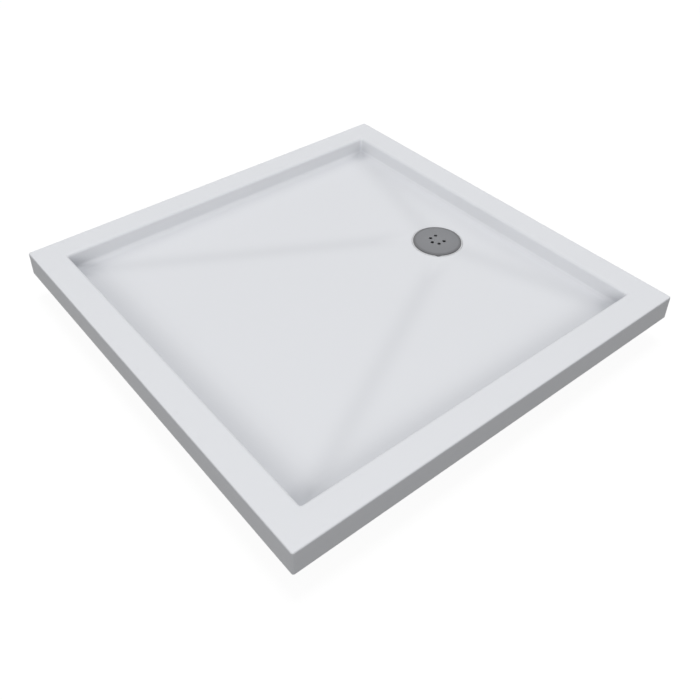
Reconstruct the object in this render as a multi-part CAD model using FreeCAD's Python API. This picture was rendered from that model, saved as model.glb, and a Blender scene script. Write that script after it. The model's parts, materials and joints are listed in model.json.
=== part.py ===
"""Square low shower tray on levelling legs, with its waste and low trap.

Millimetres, +Z up. The origin is on the floor that the feet stand on, under the middle of the tray.
The waste lies towards +Y, the wall side. Each piece is written to parts/NAME.step.
"""

import FreeCAD, Part

import math
import os

from FreeCAD import Vector

# ---- tray, outside -------------------------------------------------------------------------------------
TRAY_WIDTH = 900.0          # across X
TRAY_DEPTH = 900.0          # across Y
SKIRT_HEIGHT = 50.0         # rim top to the skirt's lower edge
SKIRT_CLEARANCE = 65.0      # floor to the skirt's lower edge, legs wound in
CORNER_RADIUS = 6.0         # upright corners of the skirt
RIM_EDGE_RADIUS = 3.0       # rim's outer edge

# ---- basin ---------------------------------------------------------------------------------------------
RIM_WIDTH = 58.0
BASIN_EDGE_RADIUS = 7.0     # rim's inner edge
WALL_DRAFT = 7.0            # a basin wall leans in by this from the rim to its foot
WALL_DEPTH = 36.0           # rim top to the foot of the basin walls
FALL = 7.5                  # foot of the walls to the flat pad round the waste
COVE_RADIUS = 10.0          # between walls and floor, and up the basin's corners
COVE_LEDGE = 0.5            # level strip between the cove and the falls
WASTE_FROM_BACK = 176.5     # waste centre to the tray's back edge
PAD_MARGIN = 2.5            # flat square pad, beyond the waste recess all round

# ---- build-up of the tray ------------------------------------------------------------------------------
ACRYLIC = 3.0
LAMINATE = 2.0
CORE_BELOW_PAD = 1.5        # core left under the lowest laminate
BOARD_THICKNESS = 9.0
BOARD_MARGIN = 22.0         # rim's inner edge to the board's edge
BOARD_CORNER = 20.0
BATTEN_HEIGHT = 28.0
BATTEN_GAP = 2.0            # batten to laminate, sideways
WASTE_CUTOUT_GAP = 17.0     # round the trap flange, through core and board
OUTLET_SLOT_GAP = 6.0       # each side of the outlet nut, through the board

# ---- waste ---------------------------------------------------------------------------------------------
WASTE_HOLE_RADIUS = 45.25   # nominal 90 mm waste
FLANGE_WIDTH = 8.75         # flange beyond the waste hole, all round
FLANGE_THICKNESS = 2.0
FLANGE_GASKET = 1.5
BODY_GASKET = 2.0
RECESS_GAP = 0.6            # recess wall to the flange
BARREL_GAP = 0.75           # waste hole to the flange's barrel
BARREL_WALL = 4.0
BARREL_DEPTH = 20.0         # flange top to the barrel's lower end
BARREL_END_GAP = 1.0        # barrel's end to the shoulder in the trap
LEDGE_DEPTH = 7.0           # flange top to the ledge that carries the cup
LEDGE_STEP = 2.5

# ---- cover ---------------------------------------------------------------------------------------------
COVER_INSET = 2.0           # flange's edge to the cover's edge
COVER_SHEET = 1.6
COVER_RISE = 2.8            # crown above the edge
COVER_LIFT = 0.8            # lugs under the cover, which let water in below the edge
COVER_LUGS = 6
LUG_RADIUS = 2.5
LUG_INSET = 5.0             # cover's edge to the lugs' centres
HOLE_RADIUS = 3.8
HOLE_CIRCLE = 15.0
HOLE_PLACES = (150.0, 210.0, 270.0, 330.0, 30.0)   # a hexagon with its back hole left out, in degrees
SPIGOT_GAP = 0.8            # cover's locating ring to the cup's mouth
SPIGOT_WALL = 1.6
SPIGOT_DEPTH = 9.0
SPIGOT_SLOT = 10.0
TAB_RADIUS = 6.0            # round tab on the edge, to lift the cover by
TAB_REACH = 3.5             # how far it stands out
TAB_PLACE = -38.6           # degrees from +X

# ---- dip cup -------------------------------------------------------------------------------------------
CUP_WALL = 1.8
CUP_RIM_THICKNESS = 2.0
CUP_RIM_GAP = 0.3
CUP_GAP = 0.5               # cup to the barrel
CUP_COLLAR_DEPTH = 12.0     # straight part below the rim
CUP_CONE_DEPTH = 9.0
DIP_RADIUS = 26.0
DIP_ABOVE_TRAP_FLOOR = 5.0
SEAL_SECTION = 1.4          # half the seal's width
SEAL_SIDES = 6
SEAL_PLAY = 0.1             # seal in its groove
SEAL_GAP = 0.3              # seal to the barrel
GRIP_WIDTH = 5.0
GRIP_HEIGHT = 4.0

# ---- trap body -----------------------------------------------------------------------------------------
TRAP_ABOVE_FLOOR = 3.0
COLLAR_WALL = 7.4           # trap's wall round the barrel
TRAP_WALL = 3.0
TRAP_FLANGE_WIDTH = 6.0
TRAP_FLANGE_THICKNESS = 4.0
TRAP_FOOT_RADIUS = 5.0
COLLAR_GAP = 0.1            # barrel thread to the trap's collar
WATER_LEVEL = 26.0          # trap floor's inside to the top of the weir
CHAMBER_MARGIN = 7.8        # each side of the socket
CHAMBER_DEPTH = 14.0        # bowl to the chamber's outer wall
CHAMBER_CORNER = 8.0

# ---- outlet for a 40 mm pipe ---------------------------------------------------------------------------
PIPE_RADIUS = 20.0
PIPE_GAP = 0.2
SOCKET_WALL = 4.0
SOCKET_REACH = 24.0         # chamber wall to the socket's end
SOCKET_STOP = 3.0           # ring inside the socket that the pipe stops at
SEAL_LENGTH = 5.0
SEAL_NOSE = 1.0             # thickness at the seal's thin end
WASHER_THICKNESS = 1.5
OUTLET_NUT_WALL = 4.3       # socket to the tops of the nut's grips
OUTLET_NUT_LIP = 3.0
OUTLET_NUT_OVERLAP = 14.0   # nut over the socket
OUTLET_NUT_GRIPS = 12
OUTLET_GRIP_RADIUS = 2.2
OUTLET_NUT_GAP = 0.2

# ---- levelling legs ------------------------------------------------------------------------------------
LEG_INSET = 50.0            # board edge to a corner leg, both ways
LEG_TRAVEL = 15.0           # how far a leg winds out
ROD_RADIUS = 6.0            # 12 mm screw
ROD_CLEARANCE = 0.05
ROD_HEAD_GAP = 0.5          # rod's top to the end of its socket
ROD_CHAMFER = 1.0
BRACKET_SIZE = 60.0
BRACKET_PLATE = 4.0
BRACKET_CORNER = 8.0
BOSS_WALL = 8.0             # round the rod's socket
BRACKET_CAP = 4.0           # solid end of the rod's socket
RIB_THICKNESS = 3.0
RIB_SETBACK = 2.0           # plate's edge to a rib's foot
SCREW_PITCH = 42.0          # between a bracket's screws, both ways
SCREW_RADIUS = 2.0
SCREW_HEAD_RADIUS = 4.0
SCREW_HEAD_DEPTH = 2.4
SCREW_LENGTH = 12.0
SCREW_GAP = 0.1
LOCK_NUT_WALL = 3.5         # rod to a flat of the lock nut
LOCK_NUT_HEIGHT = 6.0
LOCK_NUT_STANDOFF = 3.0     # spanner hexagon to the lock nut, leg wound in
NUT_CORNER_DROP = 1.0       # how far the chamfer takes the nut's corners down
PAD_RADIUS = 25.0
PAD_CHAMFER = 1.0
PAD_EDGE = 3.5
PAD_DISH = 2.0              # rise from the pad's edge to the foot of its hub
PAD_HEIGHT = 12.0
PAD_HUB_WALL = 6.0          # round the pivot
PAD_HUB_FLARE = 3.0
PIVOT_STEP = 2.0            # rod's surface down to the pivot's
PIVOT_CLEARANCE = 0.05
PIVOT_DEPTH = 8.0
PIVOT_END_GAP = 0.5
HEX_STEP = 1.0              # rod's surface up to the spanner hexagon's flats
HEX_HEIGHT = 5.0

# ---- levels and places that follow ---------------------------------------------------------------------
HALF_X = TRAY_WIDTH / 2
HALF_Y = TRAY_DEPTH / 2
RIM_Z = SKIRT_CLEARANCE + SKIRT_HEIGHT
SHEET = ACRYLIC + LAMINATE
FLANGE_RADIUS = WASTE_HOLE_RADIUS + FLANGE_WIDTH
RECESS_RADIUS = FLANGE_RADIUS + RECESS_GAP
PAD_HALF = RECESS_RADIUS + PAD_MARGIN
WASTE_Y = HALF_Y - WASTE_FROM_BACK
PAD_Z = RIM_Z - WALL_DEPTH - FALL
RECESS_DEPTH = FLANGE_THICKNESS + FLANGE_GASKET
RECESS_Z = PAD_Z - RECESS_DEPTH
BOARD_INSET = RIM_WIDTH + BOARD_MARGIN
BOARD_TOP = PAD_Z - SHEET - CORE_BELOW_PAD
BOARD_BOTTOM = BOARD_TOP - BOARD_THICKNESS
BARREL_OUTER = WASTE_HOLE_RADIUS - BARREL_GAP
BARREL_INNER = BARREL_OUTER - BARREL_WALL
LEDGE_Z = PAD_Z - LEDGE_DEPTH
LEDGE_RADIUS = BARREL_INNER + LEDGE_STEP
COVER_RADIUS = FLANGE_RADIUS - COVER_INSET
LUG_CIRCLE = COVER_RADIUS - LUG_INSET
TRAP_TOP = RECESS_Z - SHEET - BODY_GASKET
TRAP_FLOOR = TRAP_ABOVE_FLOOR + TRAP_WALL
COLLAR_RADIUS = BARREL_OUTER + COLLAR_GAP
COLLAR_BOTTOM = PAD_Z - BARREL_DEPTH - BARREL_END_GAP
TRAP_RADIUS = COLLAR_RADIUS + COLLAR_WALL
TRAP_FLANGE_RADIUS = TRAP_RADIUS + TRAP_FLANGE_WIDTH
CUTOUT_RADIUS = TRAP_FLANGE_RADIUS + WASTE_CUTOUT_GAP
CHAMBER_REACH = TRAP_RADIUS + CHAMBER_DEPTH
SOCKET_RADIUS = PIPE_RADIUS + PIPE_GAP
SOCKET_OUTER = SOCKET_RADIUS + SOCKET_WALL
CHAMBER_WIDTH = 2 * (SOCKET_OUTER + CHAMBER_MARGIN)
OUTLET_NUT_RADIUS = SOCKET_OUTER + OUTLET_NUT_WALL
OUTLET_Z = TRAP_ABOVE_FLOOR + OUTLET_NUT_RADIUS
SOCKET_END = WASTE_Y + CHAMBER_REACH + SOCKET_REACH
CUP_RADIUS = BARREL_INNER - CUP_GAP
CUP_INNER = CUP_RADIUS - 2 * CUP_WALL
SPIGOT_RADIUS = CUP_INNER - SPIGOT_GAP
HEX_TOP = PAD_HEIGHT + HEX_HEIGHT
NUT_BOTTOM = HEX_TOP + LOCK_NUT_STANDOFF
BRACKET_BOTTOM = NUT_BOTTOM + LOCK_NUT_HEIGHT
BOSS_RADIUS = ROD_RADIUS + BOSS_WALL
PIVOT_RADIUS = ROD_RADIUS - PIVOT_STEP
PAD_HUB_RADIUS = PIVOT_RADIUS + PAD_HUB_WALL
LEG_X = HALF_X - BOARD_INSET - LEG_INSET
LEG_Y = HALF_Y - BOARD_INSET - LEG_INSET
ROD_TOP = BOARD_BOTTOM - BRACKET_CAP - ROD_HEAD_GAP
UP = Vector(0, 0, 1)
ALONG_Y = Vector(0, 1, 0)

LEGS = {
    "front_left": (-LEG_X, -LEG_Y),
    "front_right": (LEG_X, -LEG_Y),
    "back_left": (-LEG_X, LEG_Y),
    "back_right": (LEG_X, LEG_Y),
    "centre": (0.0, 0.0),
}


# ---- helpers -------------------------------------------------------------------------------------------
def save(shape, name):
    """Write one piece, as a clean solid or a group of separate solids."""
    shape = shape.removeSplitter()
    if shape.ShapeType == "Compound" and len(shape.Solids) == 1:
        shape = shape.Solids[0]
    shape.exportStep("parts/" + name + ".step")


def block(x0, x1, y0, y1, z0, z1):
    """Upright box between two corners."""
    return Part.makeBox(x1 - x0, y1 - y0, z1 - z0, Vector(x0, y0, z0))


def disc(radius, z0, z1, x=0.0, y=0.0):
    """Upright cylinder between two levels."""
    return Part.makeCylinder(radius, z1 - z0, Vector(x, y, z0), UP)


def ring(outer, inner, z0, z1, x=0.0, y=0.0):
    """Upright tube between two levels."""
    return disc(outer, z0, z1, x, y).cut(disc(inner, z0, z1, x, y))


def around(radius, degrees):
    """The point at a radius and a turn from +X."""
    turn = math.radians(degrees)
    return radius * math.cos(turn), radius * math.sin(turn)


def hexagon(across_flats, z0, z1, x, y):
    """Upright hexagonal prism."""
    corners = [around(across_flats / math.sqrt(3), 60 * i) for i in range(7)]
    outline = [Vector(x + a, y + b, z0) for a, b in corners]
    return Part.Face(Part.makePolygon(outline)).extrude(UP * (z1 - z0))


def revolved(profile, x=0.0, y=0.0):
    """Solid of revolution about an upright axis, from a closed outline of (radius, z) points."""
    points = [Vector(x + r, y, z) for r, z in profile]
    face = Part.Face(Part.makePolygon(points + points[:1]))
    return face.revolve(Vector(x, y, 0), UP, 360)


def upright_edges(shape):
    """The shape's straight edges that run from one level to another."""
    return [e for e in shape.Edges if len(e.Vertexes) == 2 and abs(e.tangentAt(e.FirstParameter).z) > 0.5]


def edges_at(shape, z):
    """The shape's edges that lie flat at one level."""
    return [e for e in shape.Edges if abs(e.BoundBox.ZMin - z) < 1e-4 and abs(e.BoundBox.ZMax - z) < 1e-4]


# ---- tray skins ----------------------------------------------------------------------------------------
def skirt_block(inset):
    """The tray's outside as a solid block, its sides and top moved in by inset."""
    x = HALF_X - inset
    y = HALF_Y - inset
    solid = block(-x, x, -y, y, SKIRT_CLEARANCE, RIM_Z - inset)
    solid = solid.makeFillet(max(CORNER_RADIUS - inset, 0.5), upright_edges(solid))
    if RIM_EDGE_RADIUS > inset:
        solid = solid.makeFillet(RIM_EDGE_RADIUS - inset, edges_at(solid, RIM_Z - inset))
    return solid


def frustum(levels):
    """Solid between level rectangles, each given as (half width, y middle, half depth, z), top first."""
    loops = []
    for half_x, middle, half_y, z in levels:
        corners = ((-half_x, -half_y), (half_x, -half_y), (half_x, half_y), (-half_x, half_y))
        loops.append([Vector(x, middle + y, z) for x, y in corners])
    outlines = [loops[0], loops[-1]]
    for upper, lower in zip(loops, loops[1:]):
        for i in range(4):
            k = (i + 1) % 4
            outlines.append([upper[i], upper[k], lower[k], lower[i]])
    faces = [Part.Face(Part.makePolygon(o + o[:1])) for o in outlines]
    solid = Part.Solid(Part.Shell(faces))
    if solid.Volume < 0:        # the faces were joined inside out
        solid.reverse()
    return solid


def basin(grow):
    """The basin as a solid, its walls moved out and its floor moved down by grow.

    Leaning walls end in a cove. From the cove's foot, four flat falls meet in valleys that run from
    the corners to the square pad round the waste.
    """
    above = RIM_EDGE_RADIUS
    lean = WALL_DRAFT / WALL_DEPTH
    foot_z = RIM_Z - WALL_DEPTH - grow
    x = HALF_X - RIM_WIDTH + grow
    y = HALF_Y - RIM_WIDTH + grow
    cove = COVE_RADIUS + grow
    walls = frustum([
        (x + lean * above, 0, y + lean * above, RIM_Z + above),
        (x - WALL_DRAFT, 0, y - WALL_DRAFT, foot_z),
    ])
    walls = walls.makeFillet(cove, upright_edges(walls) + edges_at(walls, foot_z))
    foot = WALL_DRAFT + cove * math.tan((math.pi / 2 - math.atan(lean)) / 2) + COVE_LEDGE
    falls = frustum([
        (x - foot, 0, y - foot, foot_z + cove / 2),
        (x - foot, 0, y - foot, foot_z),
        (PAD_HALF, WASTE_Y, PAD_HALF, PAD_Z - grow),
    ])
    return walls.fuse(falls)


def tray_form(inset):
    """The tray as a solid block with its basin and waste recess, all faces moved inwards by inset."""
    solid = skirt_block(inset).cut(basin(inset))
    if BASIN_EDGE_RADIUS > inset:
        inner = [e for e in edges_at(solid, RIM_Z - inset) if abs(e.CenterOfMass.x) < HALF_X - RIM_WIDTH / 2
                 and abs(e.CenterOfMass.y) < HALF_Y - RIM_WIDTH / 2]
        solid = solid.makeFillet(BASIN_EDGE_RADIUS - inset, inner)
    recess = disc(RECESS_RADIUS + inset, RECESS_Z - inset, RIM_Z, 0, WASTE_Y)
    return solid.cut(recess)


def make_tray():
    """Acrylic shell and the laminate behind it: two skins of one form, open below."""
    waste_hole = disc(WASTE_HOLE_RADIUS, BOARD_BOTTOM, RIM_Z, 0, WASTE_Y)
    outside = tray_form(0.0)
    behind_acrylic = tray_form(ACRYLIC)
    behind_laminate = tray_form(SHEET)
    save(outside.cut(behind_acrylic).cut(waste_hole), "tray_shell")
    save(behind_acrylic.cut(behind_laminate).cut(waste_hole), "backing_laminate")


def make_core():
    """Filler between the sloping laminate and the flat board."""
    x = HALF_X - BOARD_INSET
    y = HALF_Y - BOARD_INSET
    wedge = block(-x, x, -y, y, BOARD_TOP, RIM_Z - WALL_DEPTH)
    cutout = disc(CUTOUT_RADIUS, BOARD_TOP, RIM_Z, 0, WASTE_Y)
    save(wedge.cut([cutout, basin(SHEET)]), "floor_core")


def make_board():
    """Plywood panel with rounded corners, cut out round the trap and along its outlet to the back edge."""
    x = HALF_X - BOARD_INSET
    y = HALF_Y - BOARD_INSET
    panel = block(-x, x, -y, y, BOARD_BOTTOM, BOARD_TOP)
    panel = panel.makeFillet(BOARD_CORNER, upright_edges(panel))
    half_slot = OUTLET_NUT_RADIUS + OUTLET_SLOT_GAP
    cuts = [disc(CUTOUT_RADIUS, BOARD_BOTTOM, BOARD_TOP, 0, WASTE_Y)]
    cuts.append(block(-half_slot, half_slot, WASTE_Y, HALF_Y, BOARD_BOTTOM, BOARD_TOP))
    depth = SCREW_LENGTH - BRACKET_PLATE + SCREW_GAP
    for px, py in all_screw_places():
        cuts.append(disc(SCREW_RADIUS + SCREW_GAP, BOARD_BOTTOM, BOARD_BOTTOM + depth, px, py))
    save(panel.cut(cuts), "base_board")


def make_battens():
    """Timber battens under the rim: left and right run through, front and back fit between them."""
    top = RIM_Z - SHEET
    bottom = top - BATTEN_HEIGHT
    outer_x = HALF_X - SHEET - BATTEN_GAP
    outer_y = HALF_Y - SHEET - BATTEN_GAP
    inner_x = HALF_X - RIM_WIDTH + SHEET + BATTEN_GAP
    inner_y = HALF_Y - RIM_WIDTH + SHEET + BATTEN_GAP
    save(block(-outer_x, -inner_x, -outer_y, outer_y, bottom, top), "rim_batten_left")
    save(block(inner_x, outer_x, -outer_y, outer_y, bottom, top), "rim_batten_right")
    save(block(-inner_x, inner_x, -outer_y, -inner_y, bottom, top), "rim_batten_front")
    save(block(-inner_x, inner_x, inner_y, outer_y, bottom, top), "rim_batten_back")


# ---- waste and trap ------------------------------------------------------------------------------------
def make_waste():
    """Flange with its barrel and ledge, and the two flat gaskets."""
    top = PAD_Z
    profile = [
        (LEDGE_RADIUS, top), (FLANGE_RADIUS, top), (FLANGE_RADIUS, top - FLANGE_THICKNESS),
        (BARREL_OUTER, top - FLANGE_THICKNESS), (BARREL_OUTER, top - BARREL_DEPTH),
        (BARREL_INNER, top - BARREL_DEPTH), (BARREL_INNER, LEDGE_Z), (LEDGE_RADIUS, LEDGE_Z),
    ]
    save(revolved(profile, 0, WASTE_Y), "waste_flange")
    upper = ring(FLANGE_RADIUS, WASTE_HOLE_RADIUS, RECESS_Z, RECESS_Z + FLANGE_GASKET, 0, WASTE_Y)
    save(upper, "flange_gasket")
    lower = ring(TRAP_FLANGE_RADIUS, WASTE_HOLE_RADIUS, TRAP_TOP, TRAP_TOP + BODY_GASKET, 0, WASTE_Y)
    save(lower, "body_gasket")


def dome_level(at, radius, z_edge, z_crown):
    """Level at one radius of a round dome that falls from z_crown to z_edge at its outer radius."""
    ball = (radius * radius + (z_crown - z_edge) ** 2) / (2 * (z_crown - z_edge))
    return z_crown - ball + math.sqrt(ball * ball - at * at)


def make_cover():
    """Domed sheet with five holes and a lifting tab, lugs that keep its edge off the flange, and a
    slotted ring that locates it in the cup's mouth."""
    low = PAD_Z + COVER_LIFT
    edge = low + COVER_SHEET
    crown = edge + COVER_RISE

    def arc(radius, z_edge, z_crown):
        middle = Vector(radius / 2, 0, dome_level(radius / 2, radius, z_edge, z_crown))
        return Part.Arc(Vector(radius, 0, z_edge), middle, Vector(0, 0, z_crown)).toShape()

    inner = COVER_RADIUS - COVER_SHEET
    outer_corner = Vector(COVER_RADIUS, 0, low)
    edges = [
        arc(COVER_RADIUS, edge, crown),
        Part.makeLine(Vector(COVER_RADIUS, 0, edge), outer_corner),
        Part.makeLine(outer_corner, Vector(inner, 0, low)),
        arc(inner, low, crown - COVER_SHEET),
        Part.makeLine(Vector(0, 0, crown - COVER_SHEET), Vector(0, 0, crown)),
    ]
    profile = Part.Wire(Part.__sortEdges__(edges))
    dome = Part.Face(profile).revolve(Vector(0, 0, 0), UP, 360)
    tab_x, tab_y = around(COVER_RADIUS + TAB_REACH - TAB_RADIUS, TAB_PLACE)
    dome = dome.fuse(disc(TAB_RADIUS, low, edge, tab_x, tab_y))
    for i in range(COVER_LUGS):
        x, y = around(LUG_CIRCLE, 360 / COVER_LUGS * i)
        dome = dome.fuse(disc(LUG_RADIUS, PAD_Z, edge, x, y))
    spigot_top = dome_level(SPIGOT_RADIUS, COVER_RADIUS, edge, crown) - COVER_SHEET / 2
    spigot = ring(SPIGOT_RADIUS, SPIGOT_RADIUS - SPIGOT_WALL, PAD_Z - SPIGOT_DEPTH, spigot_top)
    half_slot = SPIGOT_SLOT / 2
    slots = block(-FLANGE_RADIUS, FLANGE_RADIUS, -half_slot, half_slot, PAD_Z - SPIGOT_DEPTH, low)
    turned = slots.copy()
    turned.rotate(Vector(0, 0, 0), UP, 90)
    dome = dome.fuse(spigot.cut(slots).cut(turned))
    for place in HOLE_PLACES:
        x, y = around(HOLE_CIRCLE, place)
        dome = dome.cut(disc(HOLE_RADIUS, low, crown, x, y))
    dome.translate(Vector(0, WASTE_Y, 0))
    save(dome, "drain_cover")


def make_cup():
    """Lift-out cup: rim, collar with an O-ring groove, cone, dip tube and a bar to lift it by."""
    rim_top = LEDGE_Z + CUP_RIM_THICKNESS
    rim = LEDGE_RADIUS - CUP_RIM_GAP
    collar_end = LEDGE_Z - CUP_COLLAR_DEPTH
    cone_end = collar_end - CUP_CONE_DEPTH
    tube_end = TRAP_FLOOR + DIP_ABOVE_TRAP_FLOOR
    seal_z = LEDGE_Z - CUP_COLLAR_DEPTH / 2
    seal_centre = BARREL_INNER - SEAL_GAP - SEAL_SECTION
    groove = seal_centre - SEAL_SECTION - SEAL_PLAY
    play = SEAL_SECTION + SEAL_PLAY
    waist = groove - CUP_WALL
    shoulder = seal_z + SEAL_SECTION + CUP_WALL
    floor = collar_end + CUP_WALL
    dip_inner = DIP_RADIUS - CUP_WALL
    profile = [
        (CUP_INNER, rim_top), (rim, rim_top), (rim, LEDGE_Z), (CUP_RADIUS, LEDGE_Z),
        (CUP_RADIUS, seal_z + play), (groove, seal_z + play),
        (groove, seal_z - play), (CUP_RADIUS, seal_z - play),
        (CUP_RADIUS, collar_end), (DIP_RADIUS, cone_end), (DIP_RADIUS, tube_end),
        (dip_inner, tube_end), (dip_inner, cone_end + CUP_WALL), (waist, floor),
        (waist, shoulder), (CUP_INNER, shoulder),
    ]
    cup = revolved(profile, 0, WASTE_Y)
    half_bar = GRIP_WIDTH / 2
    bar = block(-waist, waist, WASTE_Y - half_bar, WASTE_Y + half_bar, floor, floor + GRIP_HEIGHT)
    bar = bar.common(disc(waist + CUP_WALL / 2, floor, floor + GRIP_HEIGHT, 0, WASTE_Y))
    save(cup.fuse(bar), "dip_cup")
    turns = [2 * math.pi * i / SEAL_SIDES for i in range(SEAL_SIDES)]
    section = [(seal_centre + SEAL_SECTION * math.cos(a), seal_z + SEAL_SECTION * math.sin(a)) for a in turns]
    save(revolved(section, 0, WASTE_Y), "cup_seal")


def along_y(radius, start, length):
    """Cylinder on the outlet's axis."""
    return Part.makeCylinder(radius, length, Vector(0, start, OUTLET_Z), ALONG_Y)


def make_trap():
    """Low trap: a round bowl under the waste, a weir, and a side chamber that leads to the outlet."""
    flange_bottom = TRAP_TOP - TRAP_FLANGE_THICKNESS
    bowl = disc(TRAP_RADIUS, TRAP_ABOVE_FLOOR, TRAP_TOP, 0, WASTE_Y)
    bowl = bowl.makeFillet(TRAP_FOOT_RADIUS, edges_at(bowl, TRAP_ABOVE_FLOOR))
    half = CHAMBER_WIDTH / 2
    reach = WASTE_Y + CHAMBER_REACH
    box = block(-half, half, WASTE_Y, reach, TRAP_ABOVE_FLOOR, flange_bottom)
    box = box.makeFillet(CHAMBER_CORNER, [e for e in upright_edges(box) if e.CenterOfMass.y > WASTE_Y + half])
    flange = disc(TRAP_FLANGE_RADIUS, flange_bottom, TRAP_TOP, 0, WASTE_Y)
    back = reach - TRAP_WALL
    socket = along_y(SOCKET_OUTER, back, TRAP_WALL + SOCKET_REACH)
    body = bowl.fuse([box, flange, socket])
    weir_top = TRAP_FLOOR + WATER_LEVEL
    inner = TRAP_RADIUS - TRAP_WALL
    body = body.cut(disc(COLLAR_RADIUS, TRAP_FLOOR, TRAP_TOP, 0, WASTE_Y))
    body = body.cut(disc(inner, TRAP_FLOOR, COLLAR_BOTTOM, 0, WASTE_Y))
    side = half - TRAP_WALL
    chamber_top = flange_bottom - TRAP_WALL
    spill = block(-side, side, WASTE_Y + inner / 2, back, weir_top, min(chamber_top, COLLAR_BOTTOM))
    fall = block(-side, side, WASTE_Y + TRAP_RADIUS, back, TRAP_FLOOR, chamber_top)
    bore = along_y(SOCKET_RADIUS - SOCKET_STOP, back, TRAP_WALL + SOCKET_REACH)
    entry = along_y(SOCKET_RADIUS, reach + SOCKET_STOP, SOCKET_REACH - SOCKET_STOP)
    save(body.cut(spill.fuse([fall, bore, entry])), "trap_body")


def make_outlet():
    """Compression joint: tapered seal, slip washer and a gripped nut over the socket."""
    seal_end = SOCKET_END + SEAL_LENGTH
    washer_end = seal_end + WASHER_THICKNESS
    nut_start = SOCKET_END - OUTLET_NUT_OVERLAP
    nut_length = washer_end + OUTLET_NUT_LIP - nut_start
    mouth = Vector(0, SOCKET_END, OUTLET_Z)
    seal = Part.makeCone(SOCKET_RADIUS + SEAL_NOSE, SOCKET_OUTER, SEAL_LENGTH, mouth, ALONG_Y)
    save(seal.cut(along_y(SOCKET_RADIUS, SOCKET_END, SEAL_LENGTH)), "outlet_seal")
    washer = along_y(SOCKET_OUTER, seal_end, WASHER_THICKNESS)
    save(washer.cut(along_y(SOCKET_RADIUS, seal_end, WASHER_THICKNESS)), "outlet_washer")
    nut = along_y(OUTLET_NUT_RADIUS - OUTLET_GRIP_RADIUS / 2, nut_start, nut_length)
    grip_circle = OUTLET_NUT_RADIUS - OUTLET_GRIP_RADIUS
    for i in range(OUTLET_NUT_GRIPS):
        across, above = around(grip_circle, 360 / OUTLET_NUT_GRIPS * (i + 0.5))
        place = Vector(across, nut_start, OUTLET_Z + above)
        nut = nut.fuse(Part.makeCylinder(OUTLET_GRIP_RADIUS, nut_length, place, ALONG_Y))
    nut = nut.cut(along_y(SOCKET_OUTER + OUTLET_NUT_GAP, nut_start, nut_length - OUTLET_NUT_LIP))
    save(nut.cut(along_y(SOCKET_RADIUS + OUTLET_NUT_GAP, nut_start, nut_length)), "outlet_nut")


# ---- levelling legs ------------------------------------------------------------------------------------
def screw_places(x, y):
    """The four screw places of the bracket at x, y."""
    half = SCREW_PITCH / 2
    return [(x + a, y + b) for a in (-half, half) for b in (-half, half)]


def all_screw_places():
    """The screw places of every bracket."""
    return [place for x, y in LEGS.values() for place in screw_places(x, y)]


def countersink(x, y, z, gap):
    """Shank and countersunk head of one screw, driven up from z, thicker by gap all round."""
    head = Part.makeCone(SCREW_HEAD_RADIUS + gap, SCREW_RADIUS + gap, SCREW_HEAD_DEPTH, Vector(x, y, z), UP)
    return head.fuse(disc(SCREW_RADIUS + gap, z, z + SCREW_LENGTH, x, y))


def make_bracket(name, x, y):
    """Moulded bracket: square plate under the board, round boss with a blind socket, and four ribs."""
    half = BRACKET_SIZE / 2
    plate_z = BOARD_BOTTOM - BRACKET_PLATE
    plate = block(x - half, x + half, y - half, y + half, plate_z, BOARD_BOTTOM)
    plate = plate.makeFillet(BRACKET_CORNER, upright_edges(plate))
    boss = disc(BOSS_RADIUS, BRACKET_BOTTOM, BOARD_BOTTOM, x, y)
    rib_low = BRACKET_BOTTOM + BRACKET_PLATE
    corners = [(0, rib_low), (BOSS_RADIUS, rib_low), (half - RIB_SETBACK, plate_z), (0, plate_z)]
    outline = [Vector(across, -RIB_THICKNESS / 2, z) for across, z in corners]
    ribs = []
    for turn in range(4):
        rib = Part.Face(Part.makePolygon(outline + outline[:1])).extrude(Vector(0, RIB_THICKNESS, 0))
        rib.rotate(Vector(0, 0, 0), UP, 90 * turn)
        rib.translate(Vector(x, y, 0))
        ribs.append(rib)
    bracket = plate.fuse([boss] + ribs)
    bracket = bracket.cut(disc(ROD_RADIUS + ROD_CLEARANCE, BRACKET_BOTTOM, BOARD_BOTTOM - BRACKET_CAP, x, y))
    for px, py in screw_places(x, y):
        bracket = bracket.cut(countersink(px, py, plate_z, SCREW_GAP))
    save(bracket, "leg_bracket_" + name)


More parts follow.
